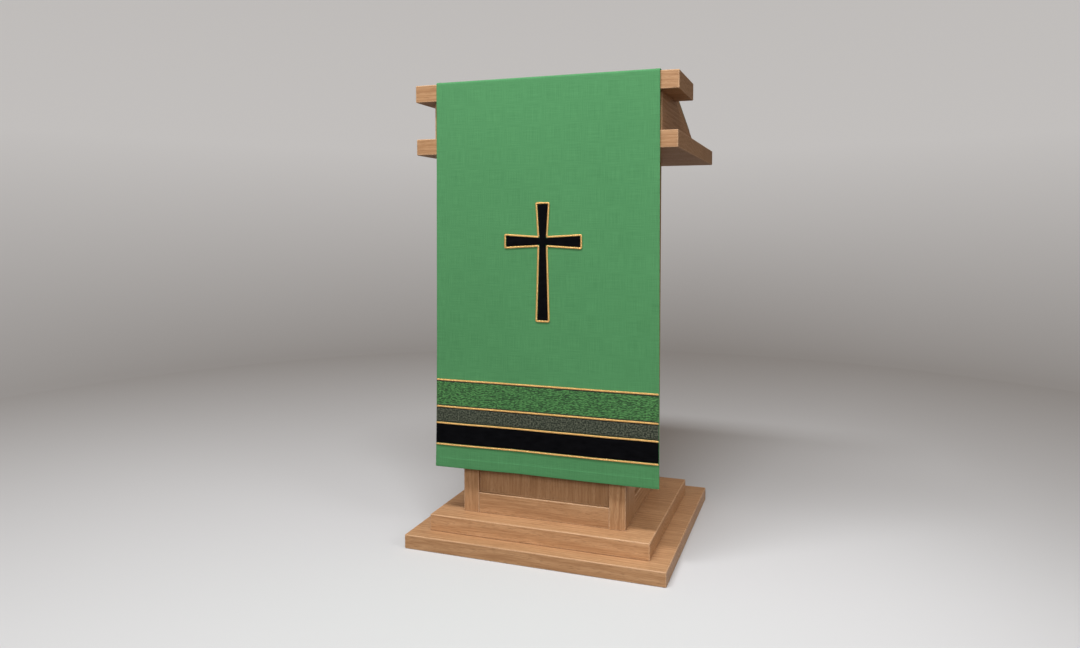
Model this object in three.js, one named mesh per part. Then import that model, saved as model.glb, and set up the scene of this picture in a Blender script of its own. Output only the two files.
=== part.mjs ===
// A wooden lectern and its fall, the long banded cloth that hangs over the top board.
// Millimetres, +Z up. +X runs to the right of someone facing the fall and +Y towards the reader's side.
// The origin lies on the floor, under the middle of the whole lectern.
import * as THREE from "three";

// Joinery shared by every wooden piece
const SEAM = 0.3; // gap between two pieces that meet
const EASE = 1.5; // chamfer on the edges of a thick board
const FINE_EASE = 1; // chamfer on the edges of a framed or thin piece

// Stepped base
const lowerStep = { width: 652, depth: 609, height: 35, reach: 84 };
const upperStep = { width: 558, depth: 491, height: 41, reach: 38 };

// Framed and panelled column
const column = { width: 419, depth: 410, setBack: 15 };
const post = { width: 40, depth: 100, ease: 1 };
const rail = { height: 50, thickness: 25, recess: 1.5 };
const panel = { thickness: 12, recess: 9 };

// Head: a shelf, a wedge-shaped box on it, the top board and the sloping reading board
const shelf = { length: 660, depth: 572, thickness: 40, top: 1016 };
const topBoard = { length: 664, depth: 198, thickness: 42, top: 1150 };
const head = { width: 578, setBack: 22, thickness: 22, frontRecess: 2, frontThickness: 18 };
const reading = { slope: 18.8, thickness: 20, startHeight: 1129.5, foot: 515 };
const HEAD_FOOT = 450; // where the head's sides end, behind the front of the boards

// The fall's cloth, as it hangs
const fall = { width: 561, flare: 8, length: 1400, thickness: 2, offCentre: 8.5, hemHeight: 191.5 };
const EDGE_CLEARANCE = 2; // cloth to the edges that it bends over
const EDGE_BEND = EDGE_CLEARANCE + fall.thickness / 2 + EASE; // radius at mid cloth
const DIP = 4; // degrees by which the cloth sinks to the top board behind each bend
const DIP_BEND = 60;
const LEAVE = 55; // degrees below level at which it leaves the back edge
const LANDING_BEND = 25; // where it comes to lie on the reading board
const SWELL_START = 345; // above the hem, where the cloth starts to wander from plumb
const SWELL_POWER = 1.5;
const swells = [
  { across: -280, width: 170, depth: 8 },
  { across: -60, width: 110, depth: -1.5 },
  { across: 120, width: 100, depth: 2 },
  { across: 262, width: 80, depth: -1.2 },
];
const ACROSS_STEPS = 16;
const DEGREES_PER_STEP = 16;

// Trimmings sewn to the cloth, from the hem upwards
const cord = { width: 5, height: 2.6, edge: 0.4, roundness: 2, bead: 1 };
const CORD_SHARES = [-1, -0.6, 0, 0.6, 1]; // points across a cord, as shares of its half width
const PATCH_THICKNESS = 1;
const TRIM_INSET = 1; // bands and cords end this far inside the cloth's side edges
const LOWEST_CORD = 58; // middle of the first cord, above the hem
const bands = [
  { name: "band_black", width: 48, colour: 0x0d0d12, roughness: 0.95 },
  { name: "band_grey", width: 36, colour: 0x47564a, roughness: 0.7 },
  { name: "band_bright_green", width: 62, colour: 0x3c8b4c, roughness: 0.75 },
];

// Latin cross, upright and arms a little wider at their ends
const cross = { bottom: 381, height: 278, span: 186, crossing: 0.68, waist: 8, end: 13 };

const FRONT = (lowerStep.reach - shelf.depth) / 2; // front faces of the shelf and top board
const COLUMN_MIDDLE = FRONT + column.setBack + column.depth / 2;
const COLUMN_BASE = lowerStep.height + upperStep.height + SEAM;
const COLUMN_TOP = shelf.top - shelf.thickness - SEAM;
const toRadians = THREE.MathUtils.degToRad;
const SLOPE = toRadians(reading.slope);

const oak = new THREE.MeshStandardMaterial({ color: 0xb98a5e, roughness: 0.5, metalness: 0 });
const greenCloth = new THREE.MeshStandardMaterial({ color: 0x4d9660, roughness: 0.85, metalness: 0 });
const blackVelvet = new THREE.MeshStandardMaterial({ color: 0x0d0d12, roughness: 0.95, metalness: 0 });
const goldCord = new THREE.MeshStandardMaterial({ color: 0xd6a850, roughness: 0.4, metalness: 0.6 });

function meshIn(group, name, geometry, material) {
  const mesh = new THREE.Mesh(geometry, material);
  mesh.name = name;
  group.add(mesh);
  return mesh;
}

// A board with every edge chamfered, centred on its own origin
function easedBoard(sizeX, sizeY, sizeZ, ease = EASE) {
  const [x, y] = [sizeX / 2, sizeY / 2];
  const outline = new THREE.Shape([
    new THREE.Vector2(ease - x, -y),
    new THREE.Vector2(x - ease, -y),
    new THREE.Vector2(x, ease - y),
    new THREE.Vector2(x, y - ease),
    new THREE.Vector2(x - ease, y),
    new THREE.Vector2(ease - x, y),
    new THREE.Vector2(-x, y - ease),
    new THREE.Vector2(-x, ease - y),
  ]);
  const geometry = new THREE.ExtrudeGeometry(outline, {
    depth: sizeZ - 2 * ease,
    bevelThickness: ease,
    bevelSize: ease,
    bevelOffset: -ease,
    bevelSegments: 1,
  });
  return geometry.translate(0, 0, ease - sizeZ / 2);
}

function addBoard(group, name, size, centre, ease) {
  const mesh = meshIn(group, name, easedBoard(...size, ease), oak);
  mesh.position.set(...centre);
  return mesh;
}

// A section drawn in the YZ plane and carried along X, middle at X = centreX
function addSection(group, name, points, length, centreX) {
  const outline = new THREE.Shape(points.map(([y, z]) => new THREE.Vector2(y, z)));
  const geometry = new THREE.ExtrudeGeometry(outline, {
    depth: length - 2 * FINE_EASE,
    bevelThickness: FINE_EASE,
    bevelSize: FINE_EASE,
    bevelOffset: -FINE_EASE,
    bevelSegments: 1,
  });
  geometry.translate(0, 0, FINE_EASE - length / 2);
  const mesh = meshIn(group, name, geometry, oak);
  mesh.rotation.set(Math.PI / 2, 0, Math.PI / 2, "ZYX");
  mesh.position.set(centreX, 0, 0);
  return mesh;
}

function makeBase() {
  const base = new THREE.Group();
  let floor = 0;
  for (const [name, step] of Object.entries({ lower_step: lowerStep, upper_step: upperStep })) {
    const middleY = FRONT - step.reach + step.depth / 2;
    const gap = floor > 0 ? SEAM : 0;
    const height = step.height - gap;
    addBoard(base, name, [step.width, step.depth, height], [0, middleY, floor + gap + height / 2]);
    floor += step.height;
  }
  return base;
}

// Two rails and a sunk panel between two posts, with the face of the posts at Y = -distance
function makeColumnFace(side, span, distance, turn) {
  const face = new THREE.Group();
  const width = span - 2 * SEAM;
  const railSize = [width, rail.thickness, rail.height];
  const railY = rail.recess + rail.thickness / 2 - distance;
  const railRise = rail.height / 2;
  addBoard(face, `rail_low_${side}`, railSize, [0, railY, COLUMN_BASE + railRise], FINE_EASE);
  addBoard(face, `rail_top_${side}`, railSize, [0, railY, COLUMN_TOP - railRise], FINE_EASE);
  const panelHeight = COLUMN_TOP - COLUMN_BASE - 2 * (rail.height + SEAM);
  const panelY = panel.recess + panel.thickness / 2 - distance;
  const panelMiddle = (COLUMN_TOP + COLUMN_BASE) / 2;
  addBoard(face, `panel_${side}`, [width, panel.thickness, panelHeight], [0, panelY, panelMiddle], FINE_EASE);
  face.rotation.z = turn;
  return face;
}

function makeColumn() {
  const group = new THREE.Group();
  group.position.y = COLUMN_MIDDLE;
  const postX = (column.width - post.width) / 2;
  const postY = (column.depth - post.depth) / 2;
  const height = COLUMN_TOP - COLUMN_BASE;
  for (const [side, signX] of [["left", -1], ["right", 1]]) {
    for (const [end, signY] of [["front", -1], ["back", 1]]) {
      const centre = [signX * postX, signY * postY, COLUMN_BASE + height / 2];
      addBoard(group, `post_${end}_${side}`, [post.width, post.depth, height], centre, post.ease);
    }
  }
  const acrossSpan = column.width - 2 * post.width;
  const alongSpan = column.depth - 2 * post.depth;
  group.add(makeColumnFace("front", acrossSpan, column.depth / 2, 0));
  group.add(makeColumnFace("right", alongSpan, column.width / 2, Math.PI / 2));
  group.add(makeColumnFace("back", acrossSpan, column.depth / 2, Math.PI));
  group.add(makeColumnFace("left", alongSpan, column.width / 2, -Math.PI / 2));
  return group;
}

// Height of the reading board's upper face, at a distance behind the front of the boards
function readingHeight(behind) {
  return reading.startHeight - (behind - topBoard.depth) * Math.tan(SLOPE);
}

function makeHead() {
  const group = new THREE.Group();
  group.position.y = FRONT;
  const shelfMiddle = [0, shelf.depth / 2, shelf.top - shelf.thickness / 2];
  addBoard(group, "shelf", [shelf.length, shelf.depth, shelf.thickness], shelfMiddle);
  const topMiddle = [0, topBoard.depth / 2, topBoard.top - topBoard.thickness / 2];
  addBoard(group, "top_board", [topBoard.length, topBoard.depth, topBoard.thickness], topMiddle);

  const floor = shelf.top + SEAM;
  const ceiling = topBoard.top - topBoard.thickness - SEAM;
  const drop = reading.thickness / Math.cos(SLOPE);
  const underside = (behind) => readingHeight(behind) - drop;
  const behindAt = (height) => topBoard.depth + (reading.startHeight - drop - height) / Math.tan(SLOPE);

  const start = topBoard.depth + SEAM;
  const board = [
    [start, underside(start)],
    [behindAt(floor), floor],
    [reading.foot, floor],
    [reading.foot, readingHeight(reading.foot)],
    [start, readingHeight(start)],
  ];
  addSection(group, "reading_board", board, head.width, 0);

  // Under the slope, the sides keep twice the usual seam, measured upright.
  const cheek = [
    [head.setBack, floor],
    [HEAD_FOOT, floor],
    [HEAD_FOOT, underside(HEAD_FOOT) - 2 * SEAM],
    [behindAt(ceiling + 2 * SEAM), ceiling],
    [head.setBack, ceiling],
  ];
  const cheekX = (head.width - head.thickness) / 2;
  addSection(group, "head_side_left", cheek, head.thickness, -cheekX);
  addSection(group, "head_side_right", cheek, head.thickness, cheekX);

  const frontSize = [head.width - 2 * (head.thickness + SEAM), head.frontThickness, ceiling - floor];
  const frontY = head.setBack + head.frontRecess + head.frontThickness / 2;
  addBoard(group, "head_front", frontSize, [0, frontY, (floor + ceiling) / 2], FINE_EASE);
  return group;
}

// The line that the middle of the cloth follows in the YZ plane, from the hem up and over to its back end.
// A row is a straight run, or a bend whose turn in degrees is positive over an edge and negative in a corner.
function drapeLine() {
  const dip = toRadians(DIP);
  const half = fall.thickness / 2;
  const bendHeight = topBoard.top - EASE;
  const sink = EDGE_BEND * Math.cos(dip) - EASE - SEAM - half - DIP_BEND * (1 - Math.cos(dip));
  const dipRun = sink / Math.sin(dip);
  const bendToFlat = (EDGE_BEND + DIP_BEND) * Math.sin(dip) + dipRun * Math.cos(dip);
  const flatRun = topBoard.depth - 2 * EASE - 2 * bendToFlat;

  const leave = toRadians(LEAVE);
  const leaveBehind = topBoard.depth - EASE + EDGE_BEND * Math.sin(leave);
  const leaveHeight = bendHeight + EDGE_BEND * Math.cos(leave);
  const rest = (SEAM + half) / Math.cos(SLOPE);
  const above = (leaveHeight - readingHeight(leaveBehind) - rest) * Math.cos(SLOPE);
  const landing = leave - SLOPE;
  const fallRun = above / Math.sin(landing) - LANDING_BEND * Math.tan(landing / 2);

  const rows = [
    { run: bendHeight - fall.hemHeight, steps: 10 },
    { radius: EDGE_BEND, turn: 90 + DIP },
    { run: dipRun, steps: 1 },
    { radius: DIP_BEND, turn: -DIP },
    { run: flatRun, steps: 2 },
    { radius: DIP_BEND, turn: -DIP },
    { run: dipRun, steps: 1 },
    { radius: EDGE_BEND, turn: DIP + LEAVE },
    { run: fallRun, steps: 1 },
    { radius: LANDING_BEND, turn: reading.slope - LEAVE },
  ];
  const lengthOf = (row) => row.run ?? row.radius * Math.abs(toRadians(row.turn));
  const used = rows.reduce((sum, row) => sum + lengthOf(row), 0);
  rows.push({ run: fall.length - used, steps: 3 });
  return rows.map((row) => ({
    ...row,
    length: lengthOf(row),
    steps: row.steps ?? Math.ceil(Math.abs(row.turn) / DEGREES_PER_STEP),
  }));
}

const line = drapeLine();

// Place and heading on that line, `along` millimetres from the hem
function onLine(along) {
  let y = FRONT - EDGE_CLEARANCE - fall.thickness / 2;
  let z = fall.hemHeight;
  let heading = Math.PI / 2;
  let left = along;
  for (const row of line) {
    const part = row === line.at(-1) ? left : Math.min(left, row.length);
    if (row.run !== undefined) {
      y += part * Math.cos(heading);
      z += part * Math.sin(heading);
    } else {
      const side = Math.sign(row.turn);
      const turned = heading - (side * part) / row.radius;
      y += side * row.radius * (Math.sin(heading) - Math.sin(turned));
      z += side * row.radius * (Math.cos(turned) - Math.cos(heading));
      heading = turned;
    }
    left -= part;
    if (left <= 0) break;
  }
  return { y, z, heading };
}

// How far the hanging cloth wanders outwards, most at the hem
function swellAt(across, along) {
  const share = Math.max(0, 1 - along / SWELL_START) ** SWELL_POWER;
  const bulge = (row) => row.depth * Math.exp(-(((across - row.across) / row.width) ** 2));
  return share * swells.reduce((sum, row) => sum + bulge(row), 0);
}

// A point on the fall: across from its middle, along from its hem, and lifted out of the middle of the cloth.
// The hanging front widens a little towards its hem.
function onFall(across, along, lift) {
  const place = onLine(along);
  const out = lift + swellAt(across, along);
  const widening = 1 + (fall.flare / fall.width) * Math.max(0, 1 - along / line[0].length);
  const x = fall.offCentre + across * widening;
  const y = place.y - out * Math.sin(place.heading);
  const z = place.z + out * Math.cos(place.heading);
  return [x, y, z];
}

// A closed sheet on the fall. Each row gives its place along the cloth and the lifts of its two faces.
function clothSolid(acrossStops, rows) {
  const positions = [];
  const index = [];
  const columns = acrossStops.length;
  for (const face of ["outer", "inner"]) {
    for (const row of rows) {
      for (const across of acrossStops) positions.push(...onFall(across, row.along, row[face]));
    }
  }
  const at = (inner, r, c) => (inner ? rows.length * columns : 0) + r * columns + c;
  const quad = (a, b, c, d) => index.push(a, b, c, a, c, d);
  const lastRow = rows.length - 1;
  const lastColumn = columns - 1;
  for (let r = 0; r < lastRow; r += 1) {
    for (let c = 0; c < lastColumn; c += 1) {
      quad(at(0, r, c), at(0, r, c + 1), at(0, r + 1, c + 1), at(0, r + 1, c));
      quad(at(1, r, c), at(1, r + 1, c), at(1, r + 1, c + 1), at(1, r, c + 1));
    }
    quad(at(0, r, 0), at(0, r + 1, 0), at(1, r + 1, 0), at(1, r, 0));
    quad(at(0, r, lastColumn), at(1, r, lastColumn), at(1, r + 1, lastColumn), at(0, r + 1, lastColumn));
  }
  for (let c = 0; c < lastColumn; c += 1) {
    quad(at(0, 0, c), at(1, 0, c), at(1, 0, c + 1), at(0, 0, c + 1));
    quad(at(0, lastRow, c), at(0, lastRow, c + 1), at(1, lastRow, c + 1), at(1, lastRow, c));
  }
  const geometry = new THREE.BufferGeometry();
  geometry.setAttribute("position", new THREE.Float32BufferAttribute(positions, 3));
  geometry.setIndex(index);
  geometry.computeVertexNormals();
  return geometry;
}

function evenStops(low, high, steps) {
  return Array.from({ length: steps + 1 }, (_, i) => low + ((high - low) * i) / steps);
}

// The trimmings lie in channels: a cord, a band, a cord and so on, each a seam from the next
function trimmingPlaces() {
  const places = [];
  let middle = LOWEST_CORD;
  for (const band of bands) {
    places.push({ kind: "cord", middle });
    const low = middle + cord.width / 2 + SEAM;
    places.push({ kind: "band", band, low, high: low + band.width });
    middle = low + band.width + SEAM + cord.width / 2;
  }
  places.push({ kind: "cord", middle });
  return places;
}

// Outline of the cross grown by a margin, in its own plane with the foot of the upright at Y = 0
function crossOutline(margin) {
  const { height, span, waist, end } = cross;
  const crossingHeight = height * cross.crossing;
  const [w, e, reach] = [waist + margin, end + margin, span / 2 + margin];
  const corners = [
    [e, -margin],
    [w, crossingHeight - w],
    [reach, crossingHeight - e],
    [reach, crossingHeight + e],
    [w, crossingHeight + w],
    [e, height + margin],
  ];
  const mirrored = corners.map(([x, y]) => [-x, y]).reverse();
  return [...corners, ...mirrored].map(([x, y]) => new THREE.Vector2(x, y));
}

function makeFall() {
  const group = new THREE.Group();
  const half = fall.thickness / 2;
  const onCloth = half + SEAM;
  const places = trimmingPlaces();

  const edges = places.flatMap((place) => {
    if (place.kind === "band") return [place.low, place.high];
    return [place.middle - cord.width / 2, place.middle + cord.width / 2];
  });
  const stops = [];
  let start = 0;
  for (const row of line) {
    for (let i = 0; i < row.steps; i += 1) stops.push(start + (row.length * i) / row.steps);
    start += row.length;
  }
  stops.push(start);
  const highest = Math.max(...edges);
  const clear = stops.filter((stop) => stop === 0 || stop > highest + cord.width);
  const along = [...clear, ...edges].sort((a, b) => a - b);
  const acrossStops = evenStops(-fall.width / 2, fall.width / 2, ACROSS_STEPS);
  const cloth = clothSolid(acrossStops, along.map((stop) => ({ along: stop, inner: -half, outer: half })));
  meshIn(group, "fall_cloth", cloth, greenCloth);

  const trimStops = [...acrossStops];
  trimStops[0] += TRIM_INSET;
  trimStops[ACROSS_STEPS] -= TRIM_INSET;
  let cordNumber = 0;
  for (const place of places) {
    if (place.kind === "band") {
      const { name, colour, roughness } = place.band;
      const material = new THREE.MeshStandardMaterial({ color: colour, roughness, metalness: 0 });
      const faces = { inner: onCloth, outer: onCloth + PATCH_THICKNESS };
      const rows = [place.low, place.high].map((stop) => ({ along: stop, ...faces }));
      meshIn(group, name, clothSolid(trimStops, rows), material);
    } else {
      cordNumber += 1;
      const rows = CORD_SHARES.map((share) => ({
        along: place.middle + (share * cord.width) / 2,
        inner: onCloth,
        outer: onCloth + cord.height * (1 - (1 - cord.edge) * Math.abs(share) ** cord.roundness),
      }));
      meshIn(group, `edging_${cordNumber}`, clothSolid(trimStops, rows), goldCord);
    }
  }

  // The cross and the cord round it lie where the cloth hangs plumb.
  const faceY = FRONT - EDGE_CLEARANCE - fall.thickness - SEAM;
  const patch = new THREE.ExtrudeGeometry(new THREE.Shape(crossOutline(0)), {
    depth: PATCH_THICKNESS,
    bevelEnabled: false,
  });
  const ring = new THREE.Shape(crossOutline(SEAM + cord.width));
  ring.holes.push(new THREE.Path(crossOutline(SEAM).reverse()));
  const outline = new THREE.ExtrudeGeometry(ring, {
    depth: cord.height - 2 * cord.bead,
    bevelThickness: cord.bead,
    bevelSize: cord.bead,
    bevelOffset: -cord.bead,
    bevelSegments: 1,
  });
  outline.translate(0, 0, cord.bead);
  for (const [name, geometry, material] of [
    ["cross_patch", patch, blackVelvet],
    ["edging_cross", outline, goldCord],
  ]) {
    const mesh = meshIn(group, name, geometry, material);
    mesh.rotation.x = Math.PI / 2;
    mesh.position.set(fall.offCentre, faceY, fall.hemHeight + cross.bottom);
  }
  return group;
}

const lectern = new THREE.Group();
lectern.add(makeBase(), makeColumn(), makeHead(), makeFall());

export default lectern;
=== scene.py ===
# %% [markdown]
# # A lectern and its fall
# A fall is the long cloth that hangs over the top board of a lectern and down its front. This
# lesson takes a packed lectern, keeps every wooden board where it is, and gives the boards a
# finish. The cloth and what is sewn to it are made again as finer pieces, because a plain solid has
# no hem, no weave and no twist.

# %% The frame
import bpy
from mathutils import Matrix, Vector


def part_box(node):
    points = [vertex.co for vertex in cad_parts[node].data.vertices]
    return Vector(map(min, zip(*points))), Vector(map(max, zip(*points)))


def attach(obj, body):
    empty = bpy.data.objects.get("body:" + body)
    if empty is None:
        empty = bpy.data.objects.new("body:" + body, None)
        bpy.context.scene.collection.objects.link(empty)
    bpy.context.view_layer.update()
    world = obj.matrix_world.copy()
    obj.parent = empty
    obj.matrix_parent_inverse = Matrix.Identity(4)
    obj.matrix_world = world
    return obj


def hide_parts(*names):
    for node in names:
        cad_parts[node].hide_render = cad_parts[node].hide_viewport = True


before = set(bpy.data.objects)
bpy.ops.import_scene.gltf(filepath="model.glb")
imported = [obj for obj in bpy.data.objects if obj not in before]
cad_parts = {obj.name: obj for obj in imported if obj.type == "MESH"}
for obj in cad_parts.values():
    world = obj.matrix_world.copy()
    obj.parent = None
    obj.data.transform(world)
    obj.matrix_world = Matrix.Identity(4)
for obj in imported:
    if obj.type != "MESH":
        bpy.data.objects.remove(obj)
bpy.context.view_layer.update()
print("nodes in the frame:", len(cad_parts))

# %% Shared tools
import math

import bpy
import numpy as np
from mathutils import Vector

MM = 0.001
scene = bpy.context.scene

# %% [markdown]
# ## Where the camera stands
# The lectern is seen from a little to its right and from below its top board, through a wide lens.
# Upright lines stay almost upright, so the camera looks nearly level, and the picture is slid down
# with the lens shift instead of being tilted. The lens matters: it sets how fast the boards narrow
# into depth.

# %% Camera
CAMERA_PLACE = (0.6457, -2.0509, 0.7999)
CAMERA_TURN = math.radians(19.658)
CAMERA_DIP = math.radians(2.622)
LENS_MM = 26.66
SENSOR_MM = 36.0
LENS_SHIFT = -0.0574

camera_data = bpy.data.cameras.new("camera")
camera_data.sensor_width = SENSOR_MM
camera_data.lens = LENS_MM
camera_data.shift_y = LENS_SHIFT
camera = bpy.data.objects.new("camera", camera_data)
camera.location = CAMERA_PLACE
camera.rotation_euler = (math.pi / 2 - CAMERA_DIP, 0.0, CAMERA_TURN)
scene.collection.objects.link(camera)
scene.camera = camera
print("camera stands", round(Vector(CAMERA_PLACE).xy.length, 2), "m from the middle of the lectern")

# %% [markdown]
# ## Helpers for shader nodes
# A material is a small machine of nodes. It could be wired by hand in the editor, but then it
# couldn't be read. A few short helpers keep each finish to some lines: one adds a node and feeds
# its inputs, one does arithmetic, one mixes colours and one stretches a range. Effects that several
# finishes share become node groups, which are built once and placed in each finish with their own
# values.

# %% Nodes and arithmetic
def put(tree, kind, feeds=None, **settings):
    """Adds a node, sets its properties and feeds its inputs with values or other nodes' outputs."""
    node = tree.nodes.new(kind)
    for name, value in settings.items():
        setattr(node, name, value)
    for socket, value in (feeds or {}).items():
        if isinstance(value, bpy.types.NodeSocket):
            tree.links.new(value, node.inputs[socket])
        else:
            node.inputs[socket].default_value = value
    return node


def reckon(tree, operation, first, second=0.0, third=0.0):
    """One step of arithmetic on numbers that change over the surface."""
    return put(tree, "ShaderNodeMath", {0: first, 1: second, 2: third}, operation=operation).outputs[0]


def spread(tree, value, low, high, to_low=0.0, to_high=1.0):
    """Stretches the numbers from low to high over another range, and clips what lies outside."""
    feeds = {"Value": value, "From Min": low, "From Max": high, "To Min": to_low, "To Max": to_high}
    return put(tree, "ShaderNodeMapRange", feeds).outputs["Result"]


print("helpers for numbers:", put.__name__, reckon.__name__, spread.__name__)

# %% Places, colours and noise
def stretched(tree, place, factors):
    """A place on the surface, multiplied along each axis."""
    feeds = {0: place, 1: factors}
    return put(tree, "ShaderNodeVectorMath", feeds, operation="MULTIPLY").outputs["Vector"]


def noise(tree, place, factors, detail=2.0):
    """Soft random patches, from about 0.3 to 0.7, with so many per metre along each axis."""
    feeds = {"Vector": stretched(tree, place, factors), "Scale": 1.0, "Detail": detail}
    return put(tree, "ShaderNodeTexNoise", feeds).outputs["Fac"]


def between(tree, share, first, second):
    """A colour between two others."""
    return put(tree, "ShaderNodeMix", {0: share, 6: first, 7: second}, data_type="RGBA").outputs[2]


print("helpers for places and colours:", stretched.__name__, noise.__name__, between.__name__)

# %% Finishes and groups
NUMBER = "NodeSocketFloat"
PLACE = "NodeSocketVector"


def new_finish(name, **shader_values):
    """A material with one Principled shader, whose plain values are set on its own sockets."""
    material = bpy.data.materials.new(name)
    material.use_nodes = True
    shader = material.node_tree.nodes["Principled BSDF"]
    for socket, value in shader_values.items():
        shader.inputs[socket.replace("_", " ")].default_value = value
    return material, material.node_tree, shader


def raise_surface(tree, shader, height, distance, strength):
    """Small relief that only the light shows."""
    feeds = {"Height": height, "Distance": distance, "Strength": strength}
    bump = put(tree, "ShaderNodeBump", feeds)
    tree.links.new(bump.outputs["Normal"], shader.inputs["Normal"])


def new_group(name, inputs, outputs):
    """An empty node group with named inputs and outputs, and its two end nodes."""
    tree = bpy.data.node_groups.new(name, "ShaderNodeTree")
    for label, kind in inputs.items():
        tree.interface.new_socket(label, in_out="INPUT", socket_type=kind)
    for label, kind in outputs.items():
        tree.interface.new_socket(label, in_out="OUTPUT", socket_type=kind)
    return tree, put(tree, "NodeGroupInput").outputs, put(tree, "NodeGroupOutput").inputs


print("helpers for finishes:", new_finish.__name__, raise_surface.__name__, new_group.__name__)

# %% [markdown]
# ## Floor and backdrop
# A studio sweep has no corner between floor and wall, so nothing behind the object draws the eye. A
# plane bent up at one side would do for one picture. Here it is a round floor whose rim curves up
# into a wall on every side, which lets the camera walk all the way round. Neither throws light back
# at the lectern, so the cloth can darken towards its hem, and the wall glows a little towards its
# top so that it stays pale.

# %% Turned sheets
ROUND_STEPS = 96


def turned_sheet(name, profile, finish):
    """A surface made by turning a line of (radius, height) points round the Z axis."""
    angles = np.linspace(0, 2 * math.pi, ROUND_STEPS, endpoint=False)
    points = [(r * math.cos(a), r * math.sin(a), z) for r, z in profile for a in angles]
    faces = []
    for low in range(0, (len(profile) - 1) * ROUND_STEPS, ROUND_STEPS):
        for i in range(ROUND_STEPS):
            j = (i + 1) % ROUND_STEPS
            faces.append((low + i, low + j, low + ROUND_STEPS + j, low + ROUND_STEPS + i))
    mesh = bpy.data.meshes.new(name)
    mesh.from_pydata(points, [], faces)
    mesh.polygons.foreach_set("use_smooth", [True] * len(faces))
    mesh.materials.append(finish)
    sheet = bpy.data.objects.new(name, mesh)
    scene.collection.objects.link(sheet)
    print(name, "has", len(faces), "faces")
    return sheet


# %% Floor and backdrop
FLOOR_RADIUS = 3.0
SWEEP_RADIUS = 1.4
WALL_HEIGHT = 6.0
SWEEP_STEPS = 16
STUDIO_PALE = (0.655, 0.67, 0.69, 1.0)
WALL_GLOW = 0.26

floor_paper = new_finish("floor_paper", Base_Color=STUDIO_PALE, Roughness=0.9)[0]
wall_paper, wall_tree, wall_shader = new_finish("wall_paper", Base_Color=STUDIO_PALE, Roughness=0.9)
wall_shader.inputs["Emission Strength"].default_value = 1.0
wall_place = put(wall_tree, "ShaderNodeTexCoord").outputs["Object"]
wall_height = put(wall_tree, "ShaderNodeSeparateXYZ", {0: wall_place}).outputs["Z"]
wall_glow = spread(wall_tree, wall_height, 0.0, SWEEP_RADIUS, 0.0, WALL_GLOW)
wall_tree.links.new(wall_glow, wall_shader.inputs["Emission Color"])

turns = np.linspace(0, math.pi / 2, SWEEP_STEPS + 1)
sweep = [(FLOOR_RADIUS + SWEEP_RADIUS * math.sin(a), SWEEP_RADIUS * (1 - math.cos(a))) for a in turns]
floor = turned_sheet("studio_floor", [(MM, 0.0), (FLOOR_RADIUS, 0.0)], floor_paper)
wall = turned_sheet("studio_wall", [*sweep, (FLOOR_RADIUS + SWEEP_RADIUS, WALL_HEIGHT)], wall_paper)
floor.visible_diffuse = False
wall.visible_diffuse = False
wall.visible_glossy = False
wall.visible_shadow = False
print("studio floor is", 2 * FLOOR_RADIUS, "m across")

# %% [markdown]
# ## Light
# The front of the lectern is bright and darkens downwards, its right side is dark, and there is a
# soft shadow under the hem. A large lamp in front lights the cloth. A long narrow one overhead
# brightens its top and the steps, and throws that shadow. A weak lamp on the right, aimed at the
# base, and warm surroundings open the dark sides. With the plain view transform, a colour in full
# light shows as the colour that its finish was given.

# %% Light
SURROUND_COLOUR = (1.0, 0.82, 0.68, 1.0)
SURROUND_STRENGTH = 0.21
LAMPS = {
    "key": {"place": (0.3, -3.4, 2.0), "aim": (0, 0, 0.6), "size": (1.4, 1.2), "watts": 53},
    "top": {"place": (-0.1, -1.4, 3.1), "aim": (0, -0.1, 0.3), "size": (2, 0.4), "watts": 75},
    "fill": {"place": (1.8, -0.9, 1.3), "aim": (0.27, 0, 0.05), "size": (0.8, 0.8), "watts": 1.5},
}
BEAMS = {"key": math.radians(180), "top": math.radians(180), "fill": math.radians(60)}

world = bpy.data.worlds.new("surroundings")
world.use_nodes = True
world.node_tree.nodes["Background"].inputs["Color"].default_value = SURROUND_COLOUR
world.node_tree.nodes["Background"].inputs["Strength"].default_value = SURROUND_STRENGTH
scene.world = world
scene.view_settings.view_transform = "Standard"
for name, row in LAMPS.items():
    lamp_data = bpy.data.lights.new(name, "AREA")
    lamp_data.shape = "RECTANGLE"
    lamp_data.size, lamp_data.size_y = row["size"]
    lamp_data.energy = row["watts"]
    lamp_data.spread = BEAMS[name]
    lamp = bpy.data.objects.new(name, lamp_data)
    lamp.location = row["place"]
    toward = Vector(row["aim"]) - Vector(row["place"])
    lamp.rotation_euler = toward.to_track_quat("-Z", "Y").to_euler()
    scene.collection.objects.link(lamp)
print("lamps:", list(LAMPS))

# %% [markdown]
# ## Grain
# Each board is cut from a log, so its grain is solid: rings round the log's axis, long fibres along
# it, and short dark pores. A flat picture of wood would need unwrapping and would show the same
# face on every side. A pattern that lives in all three dimensions gives long lines on the faces and
# arcs on the ends of the same board. One node group draws it with the log along X.

# %% Grain group
FIBRES_PER_METRE = (10.0, 400.0, 400.0)
PORES_PER_METRE = (60.0, 1000.0, 1000.0)
CLOUDS_PER_METRE = (3.0, 14.0, 14.0)


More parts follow.
